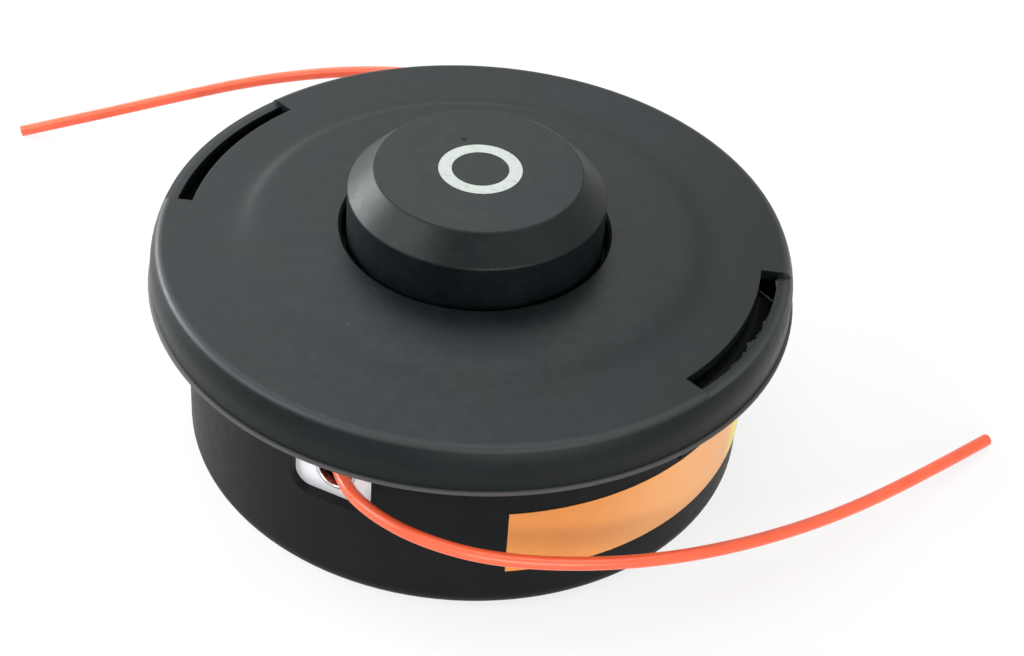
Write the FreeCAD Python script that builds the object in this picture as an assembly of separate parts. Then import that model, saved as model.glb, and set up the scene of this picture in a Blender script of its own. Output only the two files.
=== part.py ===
# Bump feed trimmer head, lying knob up on the face that the gearbox shaft screws into.
# Millimetres. Z is the spin axis and points to the knob; z = 0 is the face that the head lies on.
# The line eyelets are on -Y (front) and +Y (rear), the cover's latches on +X and -X.
import FreeCAD, Part
import math
import os

Vector = FreeCAD.Vector
UP = Vector(0, 0, 1)
CENTRE = Vector(0, 0, 0)
RIGHT_ANGLE = 90.0
TOUCH = 1e-6

# Whole head, from the face that it lies on to the top of the knob
HEAD_HEIGHT = 65.4

# Housing
HOUSING_RADIUS = 59.1
HOUSING_WALL = 2.8
HOUSING_EDGE = 4.1
FLOOR_THICKNESS = 3.0
DRIVE_RECESS = 3.2
DRIVE_HUB_RADIUS = 15.0
REST_RING_WIDTH = 5.0
DRIVE_RIB_COUNT = 12
DRIVE_RIB_WIDTH = 2.0
DRIVE_RIB_STEP = 0.6
POST_RADIUS = 11.0
POST_CORE_RADIUS = 5.4
POST_CORE_ABOVE_INSERT = 12.0
POST_BELOW_SLEEVE = 1.0

# Threaded insert for the gearbox shaft
THREAD_RADIUS = 4.46
INSERT_LENGTH = 17.0
INSERT_ACROSS_FLATS = 15.0
INSERT_FLANGE_RADIUS = 9.8
INSERT_FLANGE_THICKNESS = 2.0
INSERT_SETBACK = 0.4
MOULDED_GAP = 0.02

# How far a fused feature reaches into what carries it, and a cut runs past what it opens
ROOT = 0.5
CUT_PAST = 1.0

# Cover
COVER_OVERHANG = 7.2
SKIRT_HEIGHT = 10.2
SKIRT_WALL = 2.8
SKIRT_LIP_REACH = 0.6
SKIRT_LIP_HEIGHT = 0.4
SKIRT_LIP_SLOPE = 0.3
SHOULDER_LEAN = 28.0
SHOULDER_GAIN = 1.15
COVER_EDGE = 1.6
COVER_PLATE = 2.3
COVER_CROWN = 2.5
COVER_CROWN_FROM_HOLE = 15.0
COVER_CROWN_RUN = 9.0
COVER_HOLE_CHAMFER = 0.6
LOCATING_RING_WALL = 2.0
LOCATING_RING_DEPTH = 3.0
LOCATING_CLEARANCE = 0.3
LOCATING_SEGMENT_ANGLE = 46.0
STOP_RING_WIDTH = 2.5
STOP_RING_GAP = 1.5
STOP_CLEARANCE = 0.1

# Latches: pocket and slot in the cover, tongue in the housing wall
SLOT_HALF_ANGLE = 19.5
SLOT_WALL_OVERLAP = 0.0
SLOT_WIDTH = 3.5
POCKET_DEPTH = 1.0
TONGUE_HALF_ANGLE = 17.2
TONGUE_SLIT_WIDTH = 1.2
TONGUE_LENGTH = 19.5
TONGUE_DROP = 2.6
HOOK_REACH = 3.6
HOOK_HEIGHT = 2.0
HOOK_NOSE = 0.6
CATCH_OVERLAP = 1.4
CATCH_HEIGHT = 1.2
CATCH_CLEARANCE = 0.2
CATCH_HALF_ANGLE = 18.2
RIM_FLANGE_HEIGHT = 1.4
RIM_FLANGE_CLEARANCE = 0.4
RIM_FLANGE_GAP = 0.3

# Eyelets
EYELET_DROP = 2.65
WINDOW_WIDTH = 17.7
WINDOW_BELOW_EYELET = 6.3
WINDOW_CORNER = 3.5
PLATE_SETBACK = 2.4
PLATE_THICKNESS = 1.6
PLATE_GROOVE = 1.5
PLATE_CLEARANCE = 0.05
PLATE_TOP_GAP = 0.4
PAD_DEPTH = 5.0
PAD_MARGIN = 2.8
BUSH_BORE_RADIUS = 3.4
BUSH_WALL = 0.7
BUSH_FLARE = 0.4
BUSH_LIP_RISE = 0.5
BUSH_TAIL = 0.3
BUSH_TAIL_FLARE = 0.6

# Spool and wound line
LINE_DIAMETER = 2.7
WIND_CLEARANCE = 0.1
SPOOL_CLEARANCE = 2.1
DRUM_STEP = 7.05
DRUM_WALL = 3.0
END_FLANGE = 1.8
MIDDLE_FLANGE = 1.6
WOUND_DEPTH = 11.2
WEB_THICKNESS = 3.0
WEB_SHARE = 2 / 3
SLEEVE_WALL = 2.3
SLEEVE_LENGTH = 14.0
SLEEVE_FIT = 0.08
COLLAR_HEIGHT = 6.8
COLLAR_WALL = 2.5
NOTCH_RADIUS = 2.0
ANCHOR_SLOT_LENGTH = 12.0

# Indexing dogs and the bump stroke
TRAVEL = 7.0
DOG_COUNT = 8
DOG_WIDTH = 8.0
DOG_RAMP = 3.0
DOG_HEIGHT = 2.6
DOG_ENGAGEMENT = 1.8
FLOOR_DOG_HEIGHT = 4.8
DOG_RING_FROM_HOLE = 3.8
DOG_RING_WIDTH = 6.0

# Bump knob
KNOB_RADIUS = 26.4
KNOB_RISE = 16.6
KNOB_BEVEL = 5.2
KNOB_EDGE = 0.6
KNOB_WALL = 2.6
KNOB_TOP = 3.2
KNOB_HOLE_CLEARANCE = 1.1
KNOB_FIT = 0.05
BEAD_HEIGHT = 1.4
BEAD_DEPTH = 0.6
BEAD_ABOVE_SEAT = 3.6

# Spring and its seat
SPRING_WIRE = 1.8
SPRING_WIRE_SIDES = 8
SPRING_TURNS = 3.5
SPRING_POST_GAP = 1.9
SEAT_THICKNESS = 1.2
SEAT_POST_CLEARANCE = 0.4
SEAT_WIDTH = 4.6

# Label
LABEL_HEIGHT = 15.5
LABEL_BELOW_TONGUE = 0.7
LABEL_THICKNESS = 0.15
LABEL_START_ANGLE = -55.2
LABEL_SWEEP = 76.0

# Free cutting lines: hand-chosen route points, from inside each eyelet to the cut tip on the floor
TAIL_START = 0.2
ARC_SHARE = 0.45
LINE_TAIL_FRONT = [
    (-1.2, -54.3, 28.3),
    (3.4, -59.5, 28.3),
    (11.4, -63.0, 27.9),
    (22.3, -63.8, 26.9),
    (35.5, -60.3, 25.2),
    (50.0, -50.4, 22.3),
    (63.4, -36.1, 18.2),
    (75.3, -17.6, 13.1),
    (86.1, 3.7, 8.1),
    (96.0, 27.7, 3.9),
    (104.4, 48.7, 1.45),
]
LINE_TAIL_REAR = [
    (1.2, 54.3, 28.3),
    (-3.4, 59.5, 28.3),
    (-13.8, 69.7, 28.1),
    (-23.4, 75.8, 27.7),
    (-37.2, 80.4, 26.8),
    (-53.7, 81.0, 25.3),
    (-73.3, 75.5, 22.4),
    (-93.2, 67.1, 17.6),
    (-110.7, 57.2, 12.1),
    (-128.2, 46.7, 6.4),
    (-144.6, 36.7, 1.45),
]

# Heights that follow from the sizes above, stacked from the floor to the knob. The two line chambers
# share the height that the rest of the stack leaves.
FLOOR_TOP_Z = DRIVE_RECESS + FLOOR_THICKNESS
FLOOR_DOG_Z = FLOOR_TOP_Z + FLOOR_DOG_HEIGHT
SPOOL_BASE_Z = FLOOR_DOG_Z + TRAVEL - DOG_ENGAGEMENT + DOG_HEIGHT
COVER_STACK = 2 * DOG_HEIGHT - DOG_ENGAGEMENT + COVER_PLATE + KNOB_RISE
CHAMBER = (HEAD_HEIGHT - SPOOL_BASE_Z - 2 * END_FLANGE - MIDDLE_FLANGE - COVER_STACK) / 2
LOWER_CHAMBER_Z = SPOOL_BASE_Z + END_FLANGE
MIDDLE_FLANGE_Z = LOWER_CHAMBER_Z + CHAMBER
EYELET_Z = MIDDLE_FLANGE_Z + MIDDLE_FLANGE / 2 - EYELET_DROP
UPPER_CHAMBER_Z = MIDDLE_FLANGE_Z + MIDDLE_FLANGE
UPPER_FLANGE_Z = UPPER_CHAMBER_Z + CHAMBER
SPOOL_TOP_Z = UPPER_FLANGE_Z + END_FLANGE
COVER_UNDER_Z = SPOOL_TOP_Z + 2 * DOG_HEIGHT - DOG_ENGAGEMENT
COVER_TOP_Z = COVER_UNDER_Z + COVER_PLATE
SKIRT_EDGE_Z = COVER_TOP_Z - SKIRT_HEIGHT
KNOB_TOP_Z = COVER_TOP_Z + KNOB_RISE
WEB_Z = LOWER_CHAMBER_Z + WEB_SHARE * CHAMBER
SLEEVE_TOP_Z = WEB_Z + SLEEVE_LENGTH
POST_TOP_Z = SLEEVE_TOP_Z - POST_BELOW_SLEEVE
TONGUE_TOP_Z = COVER_UNDER_Z - TONGUE_DROP
HOOK_Z = TONGUE_TOP_Z - HOOK_HEIGHT
SLIT_BASE_Z = COVER_UNDER_Z - TONGUE_LENGTH
LABEL_TOP_Z = SLIT_BASE_Z - LABEL_BELOW_TONGUE

# Radii that follow from the sizes above
HOUSING_BORE = HOUSING_RADIUS - HOUSING_WALL
PAD_FACE = HOUSING_RADIUS - PAD_DEPTH
PLATE_FACE = HOUSING_RADIUS - PLATE_SETBACK
SPOOL_RADIUS = PAD_FACE - SPOOL_CLEARANCE
COVER_RADIUS = HOUSING_RADIUS + COVER_OVERHANG
SKIRT_BORE = COVER_RADIUS - SKIRT_WALL
SLOT_INNER = HOUSING_RADIUS - SLOT_WALL_OVERLAP
COVER_HOLE_RADIUS = KNOB_RADIUS + KNOB_HOLE_CLEARANCE
COVER_CROWN_EDGE = COVER_HOLE_RADIUS + COVER_CROWN_FROM_HOLE
DOG_RING_INNER = COVER_HOLE_RADIUS + DOG_RING_FROM_HOLE
DOG_RING_OUTER = DOG_RING_INNER + DOG_RING_WIDTH
KNOB_BORE = KNOB_RADIUS - KNOB_WALL
COLLAR_RADIUS = KNOB_BORE - KNOB_FIT
DRUM_RADIUS = COLLAR_RADIUS + DRUM_STEP

# Turning of the spool: half a dog pitch a stroke, evenly along the stroke
DOG_PITCH = 360.0 / DOG_COUNT
INDEX_ANGLE = DOG_PITCH / 2
RELEASE_ANGLE = INDEX_ANGLE * DOG_ENGAGEMENT / TRAVEL
COVER_DOG_ANGLE = INDEX_ANGLE + RELEASE_ANGLE / 2
FLOOR_DOG_ANGLE = 2 * INDEX_ANGLE - RELEASE_ANGLE / 2


class HalfSection:
    """A closed outline in the radius and height plane, turned about the spin axis."""

    def __init__(self, radius, height):
        self.start = Vector(radius, 0, height)
        self.end = self.start
        self.edges = []

    def line(self, radius, height):
        """Adds a straight side."""
        point = Vector(radius, 0, height)
        self.edges.append(Part.LineSegment(self.end, point).toShape())
        self.end = point
        return self

    def arc(self, centre, span, size):
        """Adds a round side about a centre, over a span of two angles in degrees."""
        radius, height = centre
        points = []
        for angle in (span[0], (span[0] + span[1]) / 2, span[1]):
            turn = math.radians(angle)
            points.append(Vector(radius + size * math.cos(turn), 0, height + size * math.sin(turn)))
        points[0] = self.end
        self.edges.append(Part.Arc(*points).toShape())
        self.end = points[2]
        return self

    def turned(self, sweep=360.0):
        """Closes the outline and turns it into a solid."""
        if not self.end.isEqual(self.start, TOUCH):
            self.line(self.start.x, self.start.z)
        face = Part.Face(Part.Wire(self.edges))
        return face.revolve(CENTRE, UP, sweep)


def turned_about_axis(shape, angle):
    """A copy of a shape turned about the spin axis, in degrees."""
    copy = shape.copy()
    copy.rotate(CENTRE, UP, angle)
    return copy


def sector(inner, outer, low, high, middle, half_angle):
    """A piece of a ring of rectangular section, about a middle angle."""
    section = HalfSection(inner, low).line(outer, low).line(outer, high).line(inner, high)
    return turned_about_axis(section.turned(2 * half_angle), middle - half_angle)


def ring(inner, outer, low, high):
    """A whole ring of rectangular section."""
    return HalfSection(inner, low).line(outer, low).line(outer, high).line(inner, high).turned()


def box(x_span, y_span, z_span):
    """A box between two values on each axis."""
    corner = Vector(x_span[0], y_span[0], z_span[0])
    return Part.makeBox(x_span[1] - x_span[0], y_span[1] - y_span[0], z_span[1] - z_span[0], corner)


def around(shape, count, first=0.0):
    """Copies of a shape spread evenly round the spin axis."""
    return [turned_about_axis(shape, first + 360.0 * index / count) for index in range(count)]


def dog_ring(root_z, tip_z, first_angle, leading):
    """Ratchet dogs: one upright drive face each, on the leading side, and a ramp on the other."""
    root = root_z - ROOT if tip_z > root_z else root_z + ROOT
    half = DOG_WIDTH / 2
    outline = [
        Vector(DOG_RING_INNER, -leading * half, root),
        Vector(DOG_RING_INNER, leading * half, root),
        Vector(DOG_RING_INNER, leading * half, tip_z),
        Vector(DOG_RING_INNER, -leading * (half - DOG_RAMP), tip_z),
        Vector(DOG_RING_INNER, -leading * half, root_z),
    ]
    face = Part.Face(Part.makePolygon(outline + outline[:1]))
    dog = face.extrude(Vector(DOG_RING_WIDTH, 0, 0))
    return around(dog, DOG_COUNT, first_angle)


def make_drive_insert(gap=0.0):
    """The hex insert with its round flange, or the pocket for it when a gap is given."""
    base_z = 0.0 if gap else INSERT_SETBACK
    flange_top = INSERT_SETBACK + INSERT_FLANGE_THICKNESS + gap
    corner_radius = (INSERT_ACROSS_FLATS / 2 + gap) / math.cos(math.pi / 6)
    corners = []
    for index in range(7):
        turn = math.radians(60 * index)
        corners.append(Vector(corner_radius * math.cos(turn), corner_radius * math.sin(turn), flange_top))
    hexagon = Part.Face(Part.makePolygon(corners))
    length = INSERT_SETBACK + INSERT_LENGTH + gap - flange_top
    flange = Part.makeCylinder(INSERT_FLANGE_RADIUS + gap, flange_top - base_z, Vector(0, 0, base_z))
    return flange.fuse(hexagon.extrude(Vector(0, 0, length))).removeSplitter()


def insert_with_bore():
    """The insert with its shaft hole."""
    bore = Part.makeCylinder(THREAD_RADIUS, INSERT_SETBACK + INSERT_LENGTH + CUT_PAST)
    return make_drive_insert().cut(bore)


def window_cut():
    """The eyelet window of the front wall, open to the rim, with rounded lower corners."""
    half = WINDOW_WIDTH / 2
    base_z = EYELET_Z - WINDOW_BELOW_EYELET
    y_span = (-HOUSING_RADIUS - CUT_PAST, -PAD_FACE + CUT_PAST)
    opening = box((-half, half), y_span, (base_z, COVER_UNDER_Z + CUT_PAST))
    lower = [
        edge for edge in opening.Edges
        if all(abs(vertex.Z - base_z) < TOUCH for vertex in edge.Vertexes)
        and abs(edge.Vertexes[0].X - edge.Vertexes[1].X) < TOUCH
    ]
    return opening.makeFillet(WINDOW_CORNER, lower)


def plate_box(gap):
    """The eyelet plate's block, or its groove when a gap is given."""
    half = WINDOW_WIDTH / 2 + PLATE_GROOVE + gap
    base_z = EYELET_Z - WINDOW_BELOW_EYELET - PLATE_GROOVE
    top_z = COVER_UNDER_Z + CUT_PAST if gap else COVER_UNDER_Z - PLATE_TOP_GAP
    back = -PLATE_FACE + PLATE_THICKNESS + gap
    return box((-half, half), (-PLATE_FACE - gap, back), (base_z, top_z))


def make_housing():
    """The drum: floor, post and wall, with ribs, dogs, windows, rim flange and latch tongues."""
    rest_outer = HOUSING_RADIUS - HOUSING_EDGE
    rest_inner = rest_outer - REST_RING_WIDTH
    section = HalfSection(0, 0).line(DRIVE_HUB_RADIUS, 0).line(DRIVE_HUB_RADIUS, DRIVE_RECESS)
    section.line(rest_inner, DRIVE_RECESS).line(rest_inner, 0).line(rest_outer, 0)
    section.arc((rest_outer, HOUSING_EDGE), (-RIGHT_ANGLE, 0), HOUSING_EDGE)
    section.line(HOUSING_RADIUS, COVER_UNDER_Z).line(HOUSING_BORE, COVER_UNDER_Z)
    section.line(HOUSING_BORE, FLOOR_TOP_Z).line(POST_RADIUS, FLOOR_TOP_Z)
    section.line(POST_RADIUS, POST_TOP_Z).line(0, POST_TOP_Z)
    drum = section.turned()

    rib = box(
        (DRIVE_HUB_RADIUS - ROOT, rest_inner + ROOT),
        (-DRIVE_RIB_WIDTH / 2, DRIVE_RIB_WIDTH / 2),
        (DRIVE_RIB_STEP, DRIVE_RECESS + ROOT),
    )
    pad_half = WINDOW_WIDTH / 2 + PLATE_GROOVE + PAD_MARGIN
    pad = box((-pad_half, pad_half), (-HOUSING_RADIUS, -PAD_FACE), (FLOOR_TOP_Z - ROOT, COVER_UNDER_Z))
    pad = pad.common(Part.makeCylinder(HOUSING_RADIUS - HOUSING_WALL / 2, COVER_UNDER_Z))
    hook = HalfSection(HOUSING_RADIUS - HOUSING_WALL / 2, HOOK_Z).line(HOUSING_RADIUS + HOOK_REACH, HOOK_Z)
    hook.line(HOUSING_RADIUS + HOOK_REACH, HOOK_Z + HOOK_NOSE).line(HOUSING_RADIUS + HOOK_NOSE, TONGUE_TOP_Z)
    hook.line(HOUSING_RADIUS - HOUSING_WALL / 2, TONGUE_TOP_Z)
    hook_solid = turned_about_axis(hook.turned(2 * TONGUE_HALF_ANGLE), -TONGUE_HALF_ANGLE)
    flange_start = CATCH_HALF_ANGLE + RIM_FLANGE_GAP
    flange_end = RIGHT_ANGLE - math.degrees(math.asin(pad_half / HOUSING_RADIUS))
    flange_middle = (flange_start + flange_end) / 2
    flange = sector(
        HOUSING_RADIUS - HOUSING_WALL / 2, SKIRT_BORE - RIM_FLANGE_CLEARANCE,
        HOOK_Z - RIM_FLANGE_HEIGHT, HOOK_Z, flange_middle, flange_end - flange_middle,
    )
    added = around(rib, DRIVE_RIB_COUNT) + around(pad, 2) + around(hook_solid, 2)
    added += around(flange, 2) + around(flange, 2, -2 * flange_middle)
    added += dog_ring(FLOOR_TOP_Z, FLOOR_DOG_Z, FLOOR_DOG_ANGLE, -1)
    drum = drum.fuse(added)

    core_top = INSERT_SETBACK + INSERT_LENGTH + POST_CORE_ABOVE_INSERT
    slit_angle = math.degrees(TONGUE_SLIT_WIDTH / HOUSING_RADIUS)
    slit_middle = TONGUE_HALF_ANGLE + slit_angle / 2
    past_bore = HOUSING_BORE - CUT_PAST
    past_wall = HOUSING_RADIUS + CUT_PAST
    past_rim = COVER_UNDER_Z + CUT_PAST
    slit = sector(past_bore, past_wall, SLIT_BASE_Z, past_rim, slit_middle, slit_angle / 2)
    slit_below = turned_about_axis(slit, -2 * slit_middle)
    tongue_top = sector(past_bore, past_wall, TONGUE_TOP_Z, past_rim, 0, slit_middle)
    removed = [make_drive_insert(MOULDED_GAP), Part.makeCylinder(POST_CORE_RADIUS, core_top)]
    for cut in (slit, slit_below, tongue_top, window_cut(), plate_box(PLATE_CLEARANCE)):
        removed += around(cut, 2)
    return drum.cut(removed).removeSplitter()


def make_eyelet_plate():
    """The front eyelet plate, with the hole that its bush is pressed into."""
    hole_radius = BUSH_BORE_RADIUS + BUSH_WALL + MOULDED_GAP
    hole = Part.makeCylinder(hole_radius, PAD_DEPTH, Vector(0, -HOUSING_RADIUS, EYELET_Z), Vector(0, 1, 0))
    return plate_box(0.0).cut(hole)


def make_eyelet_bush():
    """The front eyelet bush: a short tube whose outer end is rolled over the plate."""
    mouth = BUSH_BORE_RADIUS + BUSH_FLARE
    back = -PLATE_THICKNESS - BUSH_TAIL
    section = HalfSection(BUSH_BORE_RADIUS, BUSH_LIP_RISE - BUSH_FLARE)
    section.arc((mouth, BUSH_LIP_RISE - BUSH_FLARE), (2 * RIGHT_ANGLE, RIGHT_ANGLE), BUSH_FLARE)
    section.arc((mouth, 0), (RIGHT_ANGLE, 0), BUSH_LIP_RISE)
    section.line(BUSH_BORE_RADIUS + BUSH_WALL, 0).line(BUSH_BORE_RADIUS + BUSH_WALL, back)
    section.line(BUSH_BORE_RADIUS + BUSH_TAIL_FLARE, back)
    section.line(BUSH_BORE_RADIUS, back + BUSH_TAIL_FLARE)
    bush = section.turned()
    bush.rotate(CENTRE, Vector(1, 0, 0), RIGHT_ANGLE)
    bush.translate(Vector(0, -PLATE_FACE, EYELET_Z))
    return bush


def make_cover():
    """The cover: raised disc with lipped skirt, hole, latch pockets, catch lips, dogs and rings below."""
    crown_z = COVER_TOP_Z + COVER_CROWN
    half_run = COVER_CROWN_RUN / 2
    half_rise = COVER_CROWN / 2
    sweep_radius = (half_run ** 2 + half_rise ** 2) / (2 * half_rise)
    sweep = math.degrees(math.asin(half_run / sweep_radius))
    section = HalfSection(COVER_HOLE_RADIUS, COVER_UNDER_Z)
    section.line(COVER_HOLE_RADIUS, crown_z - COVER_HOLE_CHAMFER)
    section.line(COVER_HOLE_RADIUS + COVER_HOLE_CHAMFER, crown_z).line(COVER_CROWN_EDGE, crown_z)
    section.arc((COVER_CROWN_EDGE, crown_z - sweep_radius), (RIGHT_ANGLE, RIGHT_ANGLE - sweep), sweep_radius)
    foot_centre = (COVER_CROWN_EDGE + COVER_CROWN_RUN, COVER_TOP_Z + sweep_radius)
    section.arc(foot_centre, (-RIGHT_ANGLE - sweep, -RIGHT_ANGLE), sweep_radius)
    lean = math.radians(SHOULDER_LEAN)
    edge_radius = COVER_RADIUS - SHOULDER_GAIN - COVER_EDGE * math.cos(lean)
    edge_z = COVER_TOP_Z - COVER_EDGE
    shoulder = SHOULDER_GAIN / (1 - math.cos(lean))
    shoulder_z = edge_z + (COVER_EDGE - shoulder) * math.sin(lean)
    section.line(edge_radius, COVER_TOP_Z)
    section.arc((edge_radius, edge_z), (RIGHT_ANGLE, SHOULDER_LEAN), COVER_EDGE)
    section.arc((COVER_RADIUS - shoulder, shoulder_z), (SHOULDER_LEAN, 0), shoulder)
    lip_radius = COVER_RADIUS + SKIRT_LIP_REACH
    lip_top = SKIRT_EDGE_Z + SKIRT_LIP_HEIGHT
    section.line(COVER_RADIUS, lip_top + SKIRT_LIP_SLOPE).line(lip_radius, lip_top)
    section.line(lip_radius, SKIRT_EDGE_Z).line(SKIRT_BORE, SKIRT_EDGE_Z).line(SKIRT_BORE, COVER_UNDER_Z)
    disc = section.turned()

    catch_inner = HOUSING_RADIUS + HOOK_REACH - CATCH_OVERLAP
    catch_top = HOOK_Z - CATCH_CLEARANCE
    catch_base = catch_top - CATCH_HEIGHT
    catch = sector(catch_inner, SKIRT_BORE + SKIRT_WALL / 2, catch_base, catch_top, 0, CATCH_HALF_ANGLE)
    locating_outer = HOUSING_BORE - LOCATING_CLEARANCE
    locating = sector(
        locating_outer - LOCATING_RING_WALL, locating_outer, COVER_UNDER_Z - LOCATING_RING_DEPTH,
        COVER_UNDER_Z + ROOT, 45, LOCATING_SEGMENT_ANGLE / 2,
    )
    stop_inner = DOG_RING_OUTER + STOP_RING_GAP
    stop = ring(stop_inner, stop_inner + STOP_RING_WIDTH, SPOOL_TOP_Z + STOP_CLEARANCE, COVER_UNDER_Z + ROOT)
    added = around(catch, 2) + around(locating, 4) + [stop]
    added += dog_ring(COVER_UNDER_Z, COVER_UNDER_Z - DOG_HEIGHT, COVER_DOG_ANGLE, -1)

    past_top = COVER_TOP_Z + CUT_PAST
    ledge_z = COVER_TOP_Z - POCKET_DEPTH
    slot = sector(SLOT_INNER, SLOT_INNER + SLOT_WIDTH, COVER_UNDER_Z - CUT_PAST, past_top, 0, SLOT_HALF_ANGLE)
    pocket = sector(SLOT_INNER, COVER_RADIUS + CUT_PAST, ledge_z, past_top, 0, SLOT_HALF_ANGLE)
    return disc.fuse(added).cut(around(slot, 2) + around(pocket, 2)).removeSplitter()


def make_spool():
    """The spool: drum and three flanges, sleeve on the post, collar for the knob, dogs and notches."""
    drum_bore = DRUM_RADIUS - DRUM_WALL
    sleeve_bore = POST_RADIUS + SLEEVE_FIT
    sleeve_outer = sleeve_bore + SLEEVE_WALL
    web_top = WEB_Z + WEB_THICKNESS
    collar_bore = COLLAR_RADIUS - COLLAR_WALL
    collar_top = SPOOL_TOP_Z + COLLAR_HEIGHT
    groove_z = SPOOL_TOP_Z + BEAD_ABOVE_SEAT - KNOB_FIT
    groove_bottom = COLLAR_RADIUS - BEAD_DEPTH
    groove_top_z = groove_z + BEAD_HEIGHT + 2 * KNOB_FIT
    section = HalfSection(sleeve_bore, WEB_Z).line(sleeve_bore, SLEEVE_TOP_Z)
    section.line(sleeve_outer, SLEEVE_TOP_Z).line(sleeve_outer, web_top)
    section.line(drum_bore, web_top).line(drum_bore, UPPER_FLANGE_Z).line(collar_bore, UPPER_FLANGE_Z)
    section.line(collar_bore, collar_top).line(COLLAR_RADIUS, collar_top)
    section.line(COLLAR_RADIUS, groove_top_z).line(groove_bottom, groove_top_z)
    section.line(groove_bottom, groove_z).line(COLLAR_RADIUS, groove_z).line(COLLAR_RADIUS, SPOOL_TOP_Z)
    section.line(SPOOL_RADIUS, SPOOL_TOP_Z).line(SPOOL_RADIUS, UPPER_FLANGE_Z)
    section.line(DRUM_RADIUS, UPPER_FLANGE_Z)
    section.line(DRUM_RADIUS, UPPER_CHAMBER_Z).line(SPOOL_RADIUS, UPPER_CHAMBER_Z)
    section.line(SPOOL_RADIUS, MIDDLE_FLANGE_Z).line(DRUM_RADIUS, MIDDLE_FLANGE_Z)
    section.line(DRUM_RADIUS, LOWER_CHAMBER_Z).line(SPOOL_RADIUS, LOWER_CHAMBER_Z)
    section.line(SPOOL_RADIUS, SPOOL_BASE_Z).line(drum_bore, SPOOL_BASE_Z).line(drum_bore, WEB_Z)
    body = section.turned()

    dogs = dog_ring(SPOOL_TOP_Z, SPOOL_TOP_Z + DOG_HEIGHT, 0, 1)
    dogs += dog_ring(SPOOL_BASE_Z, SPOOL_BASE_Z - DOG_HEIGHT, 0, 1)
    height = SPOOL_TOP_Z - SPOOL_BASE_Z
    notch_foot = Vector(SPOOL_RADIUS, 0, SPOOL_BASE_Z - CUT_PAST)
    notch = Part.makeCylinder(NOTCH_RADIUS, height + 2 * CUT_PAST, notch_foot)
    half_line = LINE_DIAMETER / 2 + WIND_CLEARANCE
    anchor = box(
        (-half_line, half_line),
        (SPOOL_RADIUS - ANCHOR_SLOT_LENGTH, SPOOL_RADIUS + CUT_PAST),
        (MIDDLE_FLANGE_Z - CUT_PAST, UPPER_CHAMBER_Z + CUT_PAST),
    )
    return body.fuse(dogs).cut(around(notch, 2) + [anchor]).removeSplitter()


def make_line_coil(base_z):
    """The wound line of one chamber, as one ring."""
    inner = DRUM_RADIUS + WIND_CLEARANCE
    return ring(inner, inner + WOUND_DEPTH, base_z + WIND_CLEARANCE, base_z + CHAMBER - WIND_CLEARANCE)


def make_bump_knob():
    """The knob: a bevelled cup on the spool's collar, with a snap bead inside."""
    bevel_z = KNOB_TOP_Z - KNOB_BEVEL
    flat_radius = KNOB_RADIUS - KNOB_BEVEL
    bead_z = SPOOL_TOP_Z + BEAD_ABOVE_SEAT
    inner_flat = flat_radius - KNOB_WALL
    section = HalfSection(KNOB_BORE, SPOOL_TOP_Z).line(KNOB_RADIUS, SPOOL_TOP_Z).line(KNOB_RADIUS, bevel_z)
    section.line(flat_radius, KNOB_TOP_Z).line(0, KNOB_TOP_Z).line(0, KNOB_TOP_Z - KNOB_TOP)
    section.line(inner_flat, KNOB_TOP_Z - KNOB_TOP).line(KNOB_BORE, bevel_z - KNOB_WALL)
    section.line(KNOB_BORE, bead_z + BEAD_HEIGHT).line(KNOB_BORE - BEAD_DEPTH, bead_z + BEAD_HEIGHT)
    section.line(KNOB_BORE - BEAD_DEPTH, bead_z).line(KNOB_BORE, bead_z)
    knob = section.turned()
    crisp = [
        edge for edge in knob.Edges
        if len(edge.Vertexes) == 1 and edge.Vertexes[0].Z >= bevel_z - TOUCH
        and math.hypot(edge.Vertexes[0].X, edge.Vertexes[0].Y) > flat_radius - TOUCH
    ]
    return knob.makeFillet(KNOB_EDGE, crisp)


def make_spring_seat():
    """The washer that the spring pushes up against the spool's web."""
    inner = POST_RADIUS + SEAT_POST_CLEARANCE
    return ring(inner, inner + SEAT_WIDTH, WEB_Z - SEAT_THICKNESS, WEB_Z)


def make_spring():
    """The bump spring, a helix round the post between the floor and its seat, with an octagonal wire."""
    mean_radius = POST_RADIUS + SPRING_POST_GAP + SPRING_WIRE / 2
    base_z = FLOOR_TOP_Z + SPRING_WIRE / 2
    rise = WEB_Z - SEAT_THICKNESS - SPRING_WIRE / 2 - base_z
    path = Part.Wire(Part.makeHelix(rise / SPRING_TURNS, rise, mean_radius).Edges)
    path.translate(Vector(0, 0, base_z))
    corner_radius = SPRING_WIRE / 2 / math.cos(math.pi / SPRING_WIRE_SIDES)
    corners = []
    for index in range(SPRING_WIRE_SIDES + 1):
        turn = 2 * math.pi * (index + 0.5) / SPRING_WIRE_SIDES
        offset = Vector(math.cos(turn), 0, math.sin(turn)) * corner_radius
        corners.append(Vector(mean_radius, 0, base_z) + offset)
    return path.makePipeShell([Part.makePolygon(corners)], True, True)


def make_side_label():
    """The foil label round the housing wall."""
    inner = HOUSING_RADIUS + MOULDED_GAP
    middle = LABEL_START_ANGLE + LABEL_SWEEP / 2
    base_z = LABEL_TOP_Z - LABEL_HEIGHT
    return sector(inner, inner + LABEL_THICKNESS, base_z, LABEL_TOP_Z, middle, LABEL_SWEEP / 2)


def placed_route(route):
    """A route's points, carried along when the eyelet's height or distance from the axis changes."""
    _, start_y, start_z = route[0]
    spread = (PAD_FACE + TAIL_START) / abs(start_y)
    lift = EYELET_Z / start_z
    return [Vector(x * spread, y * spread, z * lift) for x, y, z in route]


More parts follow.
